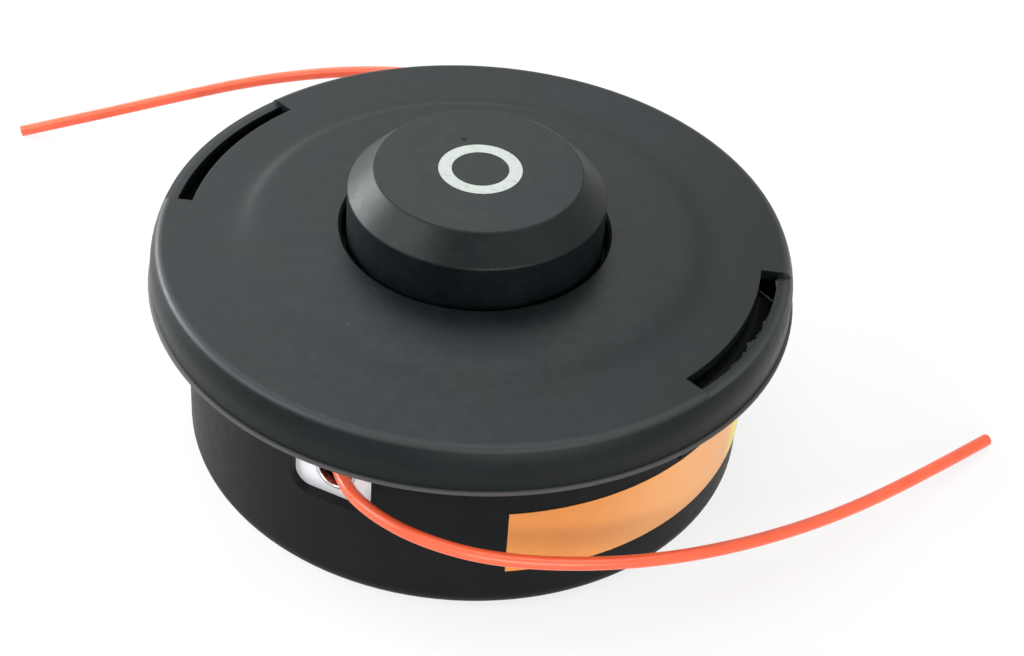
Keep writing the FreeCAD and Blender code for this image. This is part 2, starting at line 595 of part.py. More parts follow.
def make_line_tail(name, route):
    """A free line as a plain tube: straight runs joined by arcs as large as the runs allow."""
    points = placed_route(route)
    edges = []
    radii = []
    last = points[0]
    for before, corner, after in zip(points, points[1:], points[2:]):
        incoming = corner - before
        outgoing = after - corner
        turn = incoming.getAngle(outgoing)
        reach = ARC_SHARE * min(incoming.Length, outgoing.Length)
        radii.append(reach / math.tan(turn / 2))
        start = corner - incoming.normalize() * reach
        end = corner + outgoing.normalize() * reach
        inward = (outgoing - incoming).normalize()
        sagitta = radii[-1] * (1 / math.cos(turn / 2) - 1)
        edges.append(Part.LineSegment(last, start).toShape())
        edges.append(Part.Arc(start, corner + inward * sagitta, end).toShape())
        last = end
    edges.append(Part.LineSegment(last, points[-1]).toShape())
    path = Part.Wire(edges)
    radius = LINE_DIAMETER / 2
    circle = Part.makeCircle(radius, points[0], points[1] - points[0])
    tube = path.makePipeShell([Part.Wire([circle])], True, False)
    expected = math.pi * radius ** 2 * path.Length
    print(name, "radii", [round(value, 1) for value in radii], "length", round(path.Length, 1),
          "volume over section times length", round(tube.Volume / expected, 4))
    return tube


def rear(shape):
    """A copy of a front piece on the rear side."""
    return turned_about_axis(shape, 2 * RIGHT_ANGLE)


def main():
    """Builds every piece and writes one file for each."""
    plate = make_eyelet_plate()
    bush = make_eyelet_bush()
    pieces = {
        "housing": make_housing(),
        "drive_insert": insert_with_bore(),
        "eyelet_plate_front": plate,
        "eyelet_plate_rear": rear(plate),
        "eyelet_bush_front": bush,
        "eyelet_bush_rear": rear(bush),
        "side_label": make_side_label(),
        "cover": make_cover(),
        "spring": make_spring(),
        "spring_seat": make_spring_seat(),
        "spool": make_spool(),
        "bump_knob": make_bump_knob(),
        "line_coil_lower": make_line_coil(LOWER_CHAMBER_Z),
        "line_coil_upper": make_line_coil(UPPER_CHAMBER_Z),
        "line_tail_front": make_line_tail("line_tail_front", LINE_TAIL_FRONT),
        "line_tail_rear": make_line_tail("line_tail_rear", LINE_TAIL_REAR),
    }
    os.makedirs("parts", exist_ok=True)
    for name, shape in pieces.items():
        shape.exportStep(f"parts/{name}.step")
        print(name, "solids", len(shape.Solids), "valid", shape.isValid(), "volume", round(shape.Volume, 1))


main()
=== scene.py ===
"""Looks of a bump feed trimmer head that lies on its drive face with the knob up.

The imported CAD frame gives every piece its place. Lengths are metres, and MM turns a
drawing size in millimetres into metres.
"""
import logging
import math
from dataclasses import dataclass
from enum import Enum
from typing import Optional, Union

import bmesh
import bpy
from mathutils import Matrix, Quaternion, Vector


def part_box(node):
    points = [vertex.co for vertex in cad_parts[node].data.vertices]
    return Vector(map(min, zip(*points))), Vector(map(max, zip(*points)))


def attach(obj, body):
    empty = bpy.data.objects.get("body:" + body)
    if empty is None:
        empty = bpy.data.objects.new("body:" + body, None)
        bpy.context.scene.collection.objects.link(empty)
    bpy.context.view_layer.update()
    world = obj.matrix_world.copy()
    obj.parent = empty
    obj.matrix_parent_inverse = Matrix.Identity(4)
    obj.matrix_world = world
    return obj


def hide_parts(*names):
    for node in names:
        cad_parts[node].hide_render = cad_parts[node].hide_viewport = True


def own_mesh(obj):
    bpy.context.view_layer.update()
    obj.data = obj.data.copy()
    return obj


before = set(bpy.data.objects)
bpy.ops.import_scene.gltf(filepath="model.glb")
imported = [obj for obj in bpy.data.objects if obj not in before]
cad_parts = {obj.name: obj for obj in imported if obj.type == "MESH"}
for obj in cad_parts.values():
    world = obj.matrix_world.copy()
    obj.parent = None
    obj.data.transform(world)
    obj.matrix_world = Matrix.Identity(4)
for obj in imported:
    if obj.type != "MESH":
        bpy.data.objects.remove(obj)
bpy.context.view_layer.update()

LOG = logging.getLogger("trimmer_head")
MM = 0.001
SPIN_CENTRE = (0.0, 0.0, 0.0)
SPIN_AXIS = (0.0, 0.0, 1.0)
MERGE_DISTANCE = 0.001 * MM
SHARP_ANGLE = math.radians(40.0)
STEPS_A_TURN = 72
WIRE_SIDES = 14
WHITE = (1.0, 1.0, 1.0)
Point = tuple[float, float, float]
Colour = tuple[float, float, float]
Number = Union[float, "Wire"]
NodeOwner = Union[bpy.types.Material, bpy.types.World]


class Wire:
    """An output of a node. Arithmetic on it adds the Math nodes that work it out."""

    def __init__(self, graph: "Graph", socket: bpy.types.NodeSocket) -> None:
        """Keeps the socket and the graph that it belongs to."""
        self.graph = graph
        self.socket = socket

    def __add__(self, other: Number) -> "Wire":
        """The sum."""
        return self.graph.math("ADD", self, other)

    def __radd__(self, other: Number) -> "Wire":
        """The sum, with a number on the left."""
        return self.graph.math("ADD", other, self)

    def __sub__(self, other: Number) -> "Wire":
        """The difference."""
        return self.graph.math("SUBTRACT", self, other)

    def __rsub__(self, other: Number) -> "Wire":
        """The difference, with a number on the left."""
        return self.graph.math("SUBTRACT", other, self)

    def __mul__(self, other: Number) -> "Wire":
        """The product."""
        return self.graph.math("MULTIPLY", self, other)

    def __rmul__(self, other: Number) -> "Wire":
        """The product, with a number on the left."""
        return self.graph.math("MULTIPLY", other, self)

    def ramp(self, low: float, high: float) -> "Wire":
        """A smooth step from 0 at low to 1 at high, where low may be the larger."""
        settings = {"interpolation_type": "SMOOTHSTEP", "clamp": True}
        sockets = {"Value": self, "From Min": low, "From Max": high, "To Min": 0.0, "To Max": 1.0}
        return self.graph.node("ShaderNodeMapRange", settings, sockets)


class Graph:
    """The node tree of a material or a world."""

    def __init__(self, owner: NodeOwner) -> None:
        """Starts from an empty tree.

        Args:
            owner: The material or world that the tree belongs to.
        """
        self.owner = owner
        owner.use_nodes = True
        self.tree = owner.node_tree
        self.tree.nodes.clear()

    def node(self, kind: str, settings: dict, sockets: dict, output: Union[int, str] = 0) -> Wire:
        """Adds a node.

        Args:
            kind: The node's type.
            settings: Its attributes, which are set first.
            sockets: Values or wires by the input's name, number or identifier.
            output: Which output comes back.

        Returns:
            The output as a wire.
        """
        made = self.tree.nodes.new(kind)
        for key, value in settings.items():
            setattr(made, key, value)
        by_identifier = {socket.identifier: socket for socket in made.inputs}
        for key, value in sockets.items():
            target = by_identifier.get(key) or made.inputs[key]
            if isinstance(value, Wire):
                self.tree.links.new(value.socket, target)
            else:
                target.default_value = value
        found = {socket.identifier: socket for socket in made.outputs}
        return Wire(self, found.get(output) or made.outputs[output])

    def math(self, operation: str, left: Number, right: Number) -> Wire:
        """Adds a Math node for two values."""
        return self.node("ShaderNodeMath", {"operation": operation}, {0: left, 1: right})

    def place(self) -> Wire:
        """The object coordinates, in metres."""
        return self.node("ShaderNodeTexCoord", {}, {}, "Object")

    def stretched(self, scale: Point) -> Wire:
        """The object coordinates with a factor on each axis."""
        return self.node("ShaderNodeMapping", {}, {"Vector": self.place(), "Scale": scale})

    def axis_values(self) -> tuple[Wire, Wire, Wire]:
        """The object coordinates as three values."""
        place = self.place()
        return tuple(self.node("ShaderNodeSeparateXYZ", {}, {"Vector": place}, i) for i in range(3))

    def radius(self) -> Wire:
        """The distance from the spin axis."""
        flat = self.stretched((1.0, 1.0, 0.0))
        return self.node("ShaderNodeVectorMath", {"operation": "LENGTH"}, {0: flat}, "Value")

    def angle(self) -> Wire:
        """The angle about the spin axis, in radians from +X."""
        x, y, _ = self.axis_values()
        return self.math("ARCTAN2", y, x)

    def ring_place(self) -> Wire:
        """Coordinates that hold the radius and the height, and so run round in rings."""
        height = self.axis_values()[2]
        return self.node("ShaderNodeCombineXYZ", {}, {"X": self.radius(), "Y": height})

    def distance_to(self, spot: Point, where: Optional[Wire] = None) -> Wire:
        """The distance from a spot, in the object's coordinates or in others."""
        sockets = {0: where or self.place(), 1: spot}
        return self.node("ShaderNodeVectorMath", {"operation": "DISTANCE"}, sockets, "Value")

    def noise(self, size: float, detail: float = 2.0, where: Optional[Wire] = None) -> Wire:
        """Noise between 0 and 1.

        Args:
            size: The size of its grains in metres.
            detail: The number of finer layers.
            where: Coordinates other than the object's.

        Returns:
            The noise value.
        """
        sockets = {"Vector": where or self.place(), "Scale": 1.0 / size, "Detail": detail}
        return self.node("ShaderNodeTexNoise", {}, sockets)

    def specks(self, spacing: float, size: float, share: float) -> Wire:
        """A mask of scattered round specks.

        Args:
            spacing: The mean distance between the places of specks.
            size: A speck's radius at most.
            share: The share of places that have one, from 0 to 1.

        Returns:
            1 on a speck and 0 off it.
        """
        cells = {"Vector": self.place(), "Scale": 1.0 / spacing}
        away = self.node("ShaderNodeTexVoronoi", {}, cells, "Distance") * spacing
        tint = self.node("ShaderNodeTexVoronoi", {}, cells, "Color")
        chance = self.node("ShaderNodeSeparateColor", {}, {"Color": tint})
        return away.ramp(size, 0.5 * size) * self.math("LESS_THAN", chance, share)

    def mix(self, factor: Number, first: Union[Colour, Wire], second: Union[Colour, Wire]) -> Wire:
        """A colour between two colours."""
        sockets = {"Factor_Float": factor, "A_Color": as_rgba(first), "B_Color": as_rgba(second)}
        return self.node("ShaderNodeMix", {"data_type": "RGBA"}, sockets, "Result_Color")

    def bump(self, height: Number, depth: float, under: Optional[Wire] = None) -> Wire:
        """A bumped normal.

        Args:
            height: The height from 0 to 1.
            depth: The depth of a height of 1, in metres.
            under: A normal that the bump goes on top of.

        Returns:
            The normal.
        """
        sockets = {"Height": height, "Distance": depth, "Strength": 1.0}
        if under is not None:
            sockets["Normal"] = under
        return self.node("ShaderNodeBump", {}, sockets)

    def levelled(self, normal: Wire, share: Number) -> Wire:
        """A normal that is turned part of the way to straight up.

        Args:
            normal: The normal.
            share: How far it turns, from 0 to 1.

        Returns:
            The turned normal.
        """
        sockets = {"Factor_Float": share, "A_Vector": normal, "B_Vector": SPIN_AXIS}
        turned = self.node("ShaderNodeMix", {"data_type": "VECTOR"}, sockets, "Result_Vector")
        return self.node("ShaderNodeVectorMath", {"operation": "NORMALIZE"}, {0: turned}, "Vector")

    def soft_edges(self, radius: float) -> Wire:
        """A normal that rounds the crisp edges of the solids below it."""
        return self.node("ShaderNodeBevel", {"samples": 6}, {"Radius": radius})

    def seen_or_mirrored(self) -> Wire:
        """1 on rays from the camera, a mirror or glass, and 0 on the rest."""
        rays = ("Is Camera Ray", "Is Glossy Ray", "Is Transmission Ray")
        camera, glossy, through = (self.node("ShaderNodeLightPath", {}, {}, ray) for ray in rays)
        return self.math("MAXIMUM", self.math("MAXIMUM", camera, glossy), through)

    def surface(self, sockets: dict) -> NodeOwner:
        """Ends the tree in one Principled surface.

        Args:
            sockets: Values or wires by the shader's input names.

        Returns:
            The finished material.
        """
        return self.end(self.node("ShaderNodeBsdfPrincipled", {}, sockets))

    def end(self, shader: Wire, kind: str = "ShaderNodeOutputMaterial") -> NodeOwner:
        """Ends the tree in a shader.

        Args:
            shader: The shader that the output shows.
            kind: The output node's type.

        Returns:
            The finished material or world.
        """
        output = self.tree.nodes.new(kind)
        self.tree.links.new(shader.socket, output.inputs["Surface"])
        return self.owner


def as_rgba(colour: Union[Colour, Wire]) -> Union[Wire, tuple[float, float, float, float]]:
    """A colour with full alpha, or the wire as it is."""
    return colour if isinstance(colour, Wire) else (*colour, 1.0)


def shade(tone: Colour, share: float) -> Colour:
    """A tone with only a share of its light."""
    return tuple(share * channel for channel in tone)


@dataclass(frozen=True)
class Mark:
    """A small blemish at a spot of a moulding, lighter or darker than the rest."""

    spot: Point
    size: float
    tone: Colour
    dulling: float = 0.0


@dataclass(frozen=True)
class EdgeHighlight:
    """A ring of painted highlight along a round edge: a paler base colour that stands in for the edge's
    highlight.
    """

    radius: float
    height: float
    width: float
    tone: Colour


@dataclass(frozen=True)
class BlurredStep:
    """The rise of the cover's disc, which its matt skin hardly shows.

    A share of its shading is smoothed away, and less of it on one side, where it is crisper.
    """

    inner: float = 42.5 * MM
    outer: float = 51.5 * MM
    fade: float = 2.5 * MM
    share: float = 0.85
    crisp_side: tuple[float, float] = (-0.94, 0.34)
    crisp_run: float = 40.0 * MM
    crisp_share: float = 0.45

    def smoothed(self, graph: Graph, normal: Wire) -> Wire:
        """Smooths the rise.

        Args:
            graph: The tree of the disc's material.
            normal: The normal before.

        Returns:
            The normal after.
        """
        radius = graph.radius()
        rising = radius.ramp(self.inner - self.fade, self.inner)
        on_step = rising * radius.ramp(self.outer + self.fade, self.outer)
        x, y, _ = graph.axis_values()
        crisp = (self.crisp_side[0] * x + self.crisp_side[1] * y).ramp(0.0, self.crisp_run)
        return graph.levelled(normal, on_step * (self.share - self.crisp_share * crisp))


@dataclass(frozen=True)
class MouldedPlastic:
    """Black glass-filled nylon straight from the mould, a little dusty.

    A ring depth gives it fine turned rings about the spin axis, as on the knob.
    """

    name: str
    tone: Colour
    roughness: float
    index: float
    grain_depth: float = 0.008 * MM
    ring_depth: float = 0.0
    dust: float = 0.0
    step: Optional[BlurredStep] = None
    marks: tuple[Mark, ...] = ()
    # Painted highlights: rings of paler base colour along round edges.
    edge_highlights: tuple[EdgeHighlight, ...] = ()
    cloud_size: float = 26.0 * MM
    wear_size: float = 3.5 * MM
    wear_tone: Colour = (0.009, 0.0105, 0.011)
    mottle_size: float = 1.1 * MM
    mottle_tone: Colour = (0.009, 0.01, 0.0105)
    dust_spacing: float = 7.5 * MM
    dust_size: float = 0.2 * MM
    dust_tone: Colour = (0.16, 0.16, 0.145)
    grain_size: float = 0.45 * MM
    ring_size: float = 0.35 * MM
    edge_radius: float = 0.25 * MM

    def make(self) -> bpy.types.Material:
        """Builds the material."""
        graph = Graph(bpy.data.materials.new(self.name))
        cloud = graph.noise(self.cloud_size, 3.0)
        wear = graph.noise(self.wear_size, 4.0)
        mottle = graph.noise(self.mottle_size, 3.0)
        dull = tuple(1.5 * channel + 0.001 for channel in self.tone)
        colour = graph.mix(cloud.ramp(0.35, 0.7), self.tone, dull)
        colour = graph.mix(wear.ramp(0.55, 0.75) * 0.3, colour, self.wear_tone)
        colour = graph.mix(mottle.ramp(0.48, 0.72) * 0.3, colour, self.mottle_tone)
        if self.dust:
            specks = graph.specks(self.dust_spacing, self.dust_size, self.dust)
            colour = graph.mix(specks * 0.6, colour, self.dust_tone)
        roughness = self.roughness + 0.12 * (cloud - 0.5) + 0.14 * (wear - 0.5) + 0.16 * (mottle - 0.5)
        for mark in self.marks:
            inside = graph.distance_to(mark.spot).ramp(mark.size, 0.6 * mark.size)
            colour = graph.mix(inside, colour, mark.tone)
            roughness = roughness + inside * mark.dulling
        # Painted highlight: the colour is mixed towards a paler tone in a ring along each listed round edge.
        for edge in self.edge_highlights:
            away = graph.distance_to((edge.radius, edge.height, 0.0), graph.ring_place())
            colour = graph.mix(away.ramp(edge.width, 0.2 * edge.width), colour, edge.tone)
        sockets = {
            "Base Color": colour, "Roughness": roughness, "Normal": self.relief(graph), "IOR": self.index,
        }
        return graph.surface(sockets)

    def relief(self, graph: Graph) -> Wire:
        """The fine relief: soft edges, the smoothed step, mould grain and turned rings.

        Args:
            graph: The material's tree.

        Returns:
            The normal.
        """
        normal = graph.soft_edges(self.edge_radius)
        if self.step:
            normal = self.step.smoothed(graph, normal)
        normal = graph.bump(graph.noise(self.grain_size), self.grain_depth, normal)
        if self.ring_depth:
            rings = graph.noise(self.ring_size, where=graph.ring_place())
            normal = graph.bump(rings, self.ring_depth, normal)
        return normal


@dataclass(frozen=True)
class Steel:
    """Bare metal with fine drawn scratches along one axis."""

    name: str
    tone: Colour
    roughness: float
    along: Point = (1.0, 12.0, 12.0)
    scratch_size: float = 4.0 * MM
    scratch_depth: float = 0.008 * MM
    stain_size: float = 5.0 * MM
    edge_radius: float = 0.12 * MM

    def make(self) -> bpy.types.Material:
        """Builds the material."""
        graph = Graph(bpy.data.materials.new(self.name))
        drawn = graph.noise(self.scratch_size, 3.0, graph.stretched(self.along))
        stain = graph.noise(self.stain_size, 3.0)
        colour = graph.mix(stain.ramp(0.4, 0.75) * 0.6, self.tone, shade(self.tone, 0.72))
        sockets = {
            "Base Color": colour, "Roughness": self.roughness + 0.16 * (drawn - 0.5), "Metallic": 1.0,
            "Normal": graph.bump(drawn, self.scratch_depth, graph.soft_edges(self.edge_radius)),
        }
        return graph.surface(sockets)


@dataclass(frozen=True)
class BrightPlate:
    """The pale satin plates of the eyelets."""

    name: str
    tone: Colour = (0.86, 0.86, 0.88)
    roughness: float = 0.34
    metal: float = 0.25
    along: Point = (1.0, 1.0, 9.0)
    scratch_size: float = 1.6 * MM
    scratch_depth: float = 0.006 * MM
    stain_size: float = 3.0 * MM
    edge_radius: float = 0.15 * MM

    def make(self) -> bpy.types.Material:
        """Builds the material."""
        graph = Graph(bpy.data.materials.new(self.name))
        stain = graph.noise(self.stain_size, 3.0)
        edge_highlights = graph.noise(self.scratch_size, where=graph.stretched(self.along))
        colour = graph.mix(stain.ramp(0.5, 0.8) * 0.5, self.tone, shade(self.tone, 0.8))
        sockets = {
            "Base Color": colour, "Roughness": self.roughness + 0.2 * (edge_highlights - 0.5), "Metallic": self.metal,
            "Normal": graph.bump(edge_highlights, self.scratch_depth, graph.soft_edges(self.edge_radius)),
        }
        return graph.surface(sockets)


@dataclass(frozen=True)
class LabelFoil:
    """Orange foil, bare of print, with a painted sheen that makes it paler and then yellow towards one end.
    """

    name: str
    tone: Colour = (0.71, 0.25, 0.045)
    # Painted sheen: the paler tone and the yellow tone stand in for a reflection that grows towards the
    # label's end.
    pale: Colour = (0.86, 0.41, 0.14)
    pale_from: float = math.radians(-48.0)
    pale_to: float = math.radians(-10.0)
    bright: Colour = (0.9, 0.78, 0.13)
    bright_from: float = math.radians(1.0)
    bright_to: float = math.radians(9.0)
    roughness: float = 0.38
    cloud_size: float = 9.0 * MM
    grain_size: float = 0.5 * MM
    grain_depth: float = 0.004 * MM

    def make(self) -> bpy.types.Material:
        """Builds the material."""
        graph = Graph(bpy.data.materials.new(self.name))
        angle = graph.angle()
        cloud = graph.noise(self.cloud_size)
        colour = graph.mix(cloud.ramp(0.35, 0.7) * 0.3, self.tone, shade(self.tone, 0.86))
        # Painted sheen: paler, then yellow, by the angle about the spin axis.
        colour = graph.mix(angle.ramp(self.pale_from, self.pale_to), colour, self.pale)
        colour = graph.mix(angle.ramp(self.bright_from, self.bright_to), colour, self.bright)
        sockets = {
            "Base Color": colour, "Roughness": self.roughness + 0.12 * (cloud - 0.5),
            "Normal": graph.bump(graph.noise(self.grain_size), self.grain_depth),
        }
        return graph.surface(sockets)


@dataclass(frozen=True)
class CuttingLine:
    """Orange-red extruded nylon, which lets some light through."""

    name: str
    tone: Colour = (0.95, 0.13, 0.05)
    roughness: float = 0.3
    cloud_size: float = 12.0 * MM
    grain_size: float = 0.8 * MM
    grain_depth: float = 0.006 * MM
    glow_through: float = 0.35
    glow_reach: Point = (1.0, 0.25, 0.12)
    glow_scale: float = 1.2 * MM

    def make(self) -> bpy.types.Material:
        """Builds the material."""
        graph = Graph(bpy.data.materials.new(self.name))
        cloud = graph.noise(self.cloud_size)
        grain = graph.noise(self.grain_size)
        colour = graph.mix(cloud.ramp(0.35, 0.7), self.tone, shade(self.tone, 0.86))
        sockets = {
            "Base Color": colour, "Roughness": self.roughness + 0.1 * (grain - 0.5),
            "Normal": graph.bump(grain, self.grain_depth), "Subsurface Weight": self.glow_through,
            "Subsurface Radius": self.glow_reach, "Subsurface Scale": self.glow_scale,
        }
        return graph.surface(sockets)


@dataclass(frozen=True)
class PrintInk:
    """Pale pad-printed ink, thin in places."""

    name: str
    tone: Colour = (0.42, 0.455, 0.42)
    roughness: float = 0.5
    thin_size: float = 1.1 * MM
    grain_size: float = 0.3 * MM
    grain_depth: float = 0.006 * MM

    def make(self) -> bpy.types.Material:
        """Builds the material."""
        graph = Graph(bpy.data.materials.new(self.name))
        thin = graph.noise(self.thin_size, 4.0)
        grain = graph.noise(self.grain_size)
        colour = graph.mix(thin.ramp(0.5, 0.75) * 0.7, self.tone, shade(self.tone, 0.72))
        sockets = {
            "Base Color": colour, "Roughness": self.roughness + 0.15 * (grain - 0.5),
            "Normal": graph.bump(grain, self.grain_depth),
        }
        return graph.surface(sockets)


class Finish(Enum):
    """The finishes of the head, each made once."""

    COVER = MouldedPlastic(
        "cover_plastic", tone=(0.0026, 0.0042, 0.0048), roughness=0.42, index=1.26, dust=0.5,
        step=BlurredStep(),
        # Painted highlights along the skirt's lower lip and along the rim's round edge.
        edge_highlights=(
            EdgeHighlight(radius=66.9 * MM, height=39.0 * MM, width=0.8 * MM, tone=(0.07, 0.068, 0.066)),
            EdgeHighlight(radius=64.6 * MM, height=48.5 * MM, width=1.3 * MM, tone=(0.034, 0.037, 0.038)),
        ),
    )
    HOUSING = MouldedPlastic("housing_plastic", tone=(0.0036, 0.0046, 0.005), roughness=0.46, index=1.18)
    KNOB = MouldedPlastic(
        "knob_plastic", tone=(0.0022, 0.0036, 0.0042), roughness=0.4, index=1.26, dust=0.15,
        grain_depth=0.014 * MM, ring_depth=0.006 * MM,
        marks=(
            Mark((-7.35 * MM, 7.64 * MM, 65.4 * MM), 0.5 * MM, (0.001, 0.001, 0.001), dulling=0.5),
            Mark((13.2 * MM, -16.9 * MM, 62.9 * MM), 0.9 * MM, (0.035, 0.038, 0.038)),
        ),
    )
    SPOOL = MouldedPlastic("spool_plastic", tone=(0.006, 0.006, 0.006), roughness=0.46, index=1.26)
    INSERT = Steel("turned_insert", tone=(0.5, 0.48, 0.45), roughness=0.36)
    PLATE = BrightPlate("satin_plate")
    EYELET = Steel("rolled_eyelet", tone=(0.66, 0.66, 0.67), roughness=0.26)
    SPRING = Steel("drawn_spring", tone=(0.45, 0.45, 0.46), roughness=0.32)
    LABEL = LabelFoil("printed_foil")
    LINE = CuttingLine("drawn_nylon")
    INK = PrintInk("print_ink")

    @property
    def material(self) -> bpy.types.Material:
        """The finish's material, built at its first use."""
        return bpy.data.materials.get(self.value.name) or self.value.make()


def dress(node: str, finish: Finish) -> None:
    """Gives a CAD node its finish.

    Args:
        node: The node's name.
        finish: What it is dressed in.
    """
    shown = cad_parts[node]
    shown.data.materials.clear()
    shown.data.materials.append(finish.material)
    LOG.info("%s dressed in %s", node, finish.value.name)


class Tint(Enum):
    """The colours of the lamps."""

    PLAIN = WHITE
    COOL = (0.98, 1.0, 1.02)
    COOLER = (0.96, 1.0, 1.02)
    COOLEST = (0.95, 1.0, 1.03)
    WARM = (1.0, 0.95, 0.88)


@dataclass(frozen=True)
class SoftLamp:
    """A soft lamp that faces the head.

    Its azimuth is counted from +X and its elevation from the floor, both in degrees. Its size is
    a width and a height, and its power is in watts.
    """

    name: str
    azimuth: float
    elevation: float
    distance: float
    size: tuple[float, float]
    power: float
    tint: Tint

    def build(self, middle: Point) -> None:
        """Adds the lamp.

        Args:
            middle: The point that it faces.
        """
        data = bpy.data.lights.new(self.name, "AREA")
        data.shape = "RECTANGLE"
        data.size, data.size_y = self.size
        data.energy = self.power
        data.color = self.tint.value
        lamp = bpy.data.objects.new(self.name, data)
        turn, rise = math.radians(self.azimuth), math.radians(self.elevation)
        away = Vector((math.cos(turn) * math.cos(rise), math.sin(turn) * math.cos(rise), math.sin(rise)))
        lamp.location = Vector(middle) + away * self.distance
        lamp.rotation_mode = "QUATERNION"
        lamp.rotation_quaternion = away.to_track_quat("Z", "Y")
        lamp.visible_camera = False
        bpy.context.scene.collection.objects.link(lamp)


@dataclass(frozen=True)
class Studio:
    """Pale floor, white surroundings and soft lamps round the head."""

    floor_size: float = 6.0
    floor_tone: Colour = (0.86, 0.86, 0.86)
    floor_glow: float = 0.8
    ambient: float = 0.08
    middle: Point = (0.0, 0.0, 0.04)
    lamps: tuple[SoftLamp, ...] = (
        SoftLamp("left_softbox", 181.0, 13.0, 0.85, (0.5, 0.36), 10.0, Tint.COOL),
        SoftLamp("left_back_box", 150.0, 13.0, 0.9, (0.4, 0.3), 1.6, Tint.COOL),
        SoftLamp("left_front_box", 230.0, 38.0, 0.9, (0.45, 0.45), 4.5, Tint.COOL),
        SoftLamp("back_softbox", 128.0, 50.0, 0.95, (0.6, 0.6), 4.0, Tint.COOLEST),
        SoftLamp("overhead", -62.0, 87.0, 0.9, (0.6, 0.3), 1.8, Tint.COOLER),
        SoftLamp("right_panel", 22.0, 58.0, 0.95, (0.45, 0.4), 2.0, Tint.WARM),
        SoftLamp("front_fill", -42.0, 17.0, 1.1, (1.0, 0.5), 8.8, Tint.PLAIN),
    )

    def build(self) -> None:
        """Builds the floor, the world and the lamps."""
        self.build_floor()
        self.build_world()
        for lamp in self.lamps:
            lamp.build(self.middle)

    def build_floor(self) -> None:
        """Builds the floor, which glows so that it stays pale and still keeps the head's shadow."""
        shape = bmesh.new()
        bmesh.ops.create_grid(shape, x_segments=1, y_segments=1, size=self.floor_size / 2)
        mesh = bpy.data.meshes.new("floor")
        shape.to_mesh(mesh)
        shape.free()
        graph = Graph(bpy.data.materials.new("floor_paper"))
        share = graph.seen_or_mirrored() * self.floor_glow
        paper = graph.node("ShaderNodeBsdfDiffuse", {}, {"Color": as_rgba(self.floor_tone)})
        glow = graph.node("ShaderNodeEmission", {}, {"Color": as_rgba(WHITE), "Strength": 1.0})
        mesh.materials.append(graph.end(graph.node("ShaderNodeMixShader", {}, {0: share, 1: paper, 2: glow})))
        floor = bpy.data.objects.new("floor", mesh)
        bpy.context.scene.collection.objects.link(floor)

    def build_world(self) -> None:
        """Builds the surroundings: white where they are seen or mirrored, a grey light elsewhere."""
        graph = Graph(bpy.data.worlds.new("studio"))
        levels = {"Value": graph.seen_or_mirrored(), "To Min": self.ambient, "To Max": 1.0}
        strength = graph.node("ShaderNodeMapRange", {}, levels)
        back = graph.node("ShaderNodeBackground", {}, {"Color": as_rgba(WHITE), "Strength": strength})
        bpy.context.scene.world = graph.end(back, "ShaderNodeOutputWorld")


@dataclass(frozen=True)
class PhotoCamera:
    """The camera at the photograph's place, a long lens held with a slight roll."""

    location: Point = (153.835 * MM, -327.831 * MM, 320.775 * MM)
    aim: Point = (15.727 * MM, -13.158 * MM, 39.9 * MM)
    roll: float = math.radians(4.451)
    lens: float = 77.312
    sensor_width: float = 36.0
    nearest: float = 10.0 * MM

    def build(self) -> None:
        """Adds the camera and makes it the scene's own."""
        data = bpy.data.cameras.new("photo_camera")
        data.lens = self.lens
        data.sensor_width = self.sensor_width
        data.sensor_fit = "HORIZONTAL"
        data.clip_start = self.nearest
        camera = bpy.data.objects.new("photo_camera", data)
        ahead = Vector(self.aim) - Vector(self.location)
        level = ahead.to_track_quat("-Z", "Y")
        camera.location = self.location
        camera.rotation_mode = "QUATERNION"
        camera.rotation_quaternion = level @ Quaternion((0.0, 0.0, 1.0), self.roll)
        bpy.context.scene.collection.objects.link(camera)
        bpy.context.scene.camera = camera


@dataclass(frozen=True)
class LineTail:
    """A free cutting line from its eyelet to the cut tip on the floor, its route in millimetres."""

    node: str
    route: tuple[Point, ...]
    length: float
    diameter: float = 2.7 * MM

    def build(self) -> None:
        curve = bpy.data.curves.new(f"{self.node}_nylon", "CURVE")
        curve.dimensions = "3D"
        curve.bevel_depth = self.diameter / 2
        curve.bevel_resolution = 6
        curve.use_fill_caps = True
        spline = curve.splines.new("NURBS")
        spline.points.add(len(self.route) - 1)
        for control, place in zip(spline.points, self.route):
            control.co = (*(MM * value for value in place), 1.0)
        spline.order_u = 3
        spline.use_endpoint_u = True
        spline.resolution_u = 16
        curve.materials.append(Finish.LINE.material)
        piece = bpy.data.objects.new(f"{self.node}_nylon", curve)
        bpy.context.scene.collection.objects.link(piece)
        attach(piece, "housing")
        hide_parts(self.node)
        LOG.info("%s laid as a cord of %.0f mm", self.node, self.length / MM)


FRONT_LINE = LineTail("line_tail_front", (
    (-1.2, -54.3, 28.3), (3.4, -59.5, 28.3), (11.4, -63.0, 27.9), (22.3, -63.8, 26.9),
    (35.5, -60.3, 25.2), (50.0, -50.4, 22.3), (63.4, -36.1, 18.2), (75.3, -17.6, 13.1),
    (86.1, 3.7, 8.1), (96.0, 27.7, 3.9), (104.4, 48.7, 1.45),
), 174 * MM)
REAR_LINE = LineTail("line_tail_rear", (
    (1.2, 54.3, 28.3), (-3.4, 59.5, 28.3), (-13.8, 69.7, 28.1), (-23.4, 75.8, 27.7),
    (-37.2, 80.4, 26.8), (-53.7, 81.0, 25.3), (-73.3, 75.5, 22.4), (-93.2, 67.1, 17.6),
    (-110.7, 57.2, 12.1), (-128.2, 46.7, 6.4), (-144.6, 36.7, 1.45),
), 168 * MM)


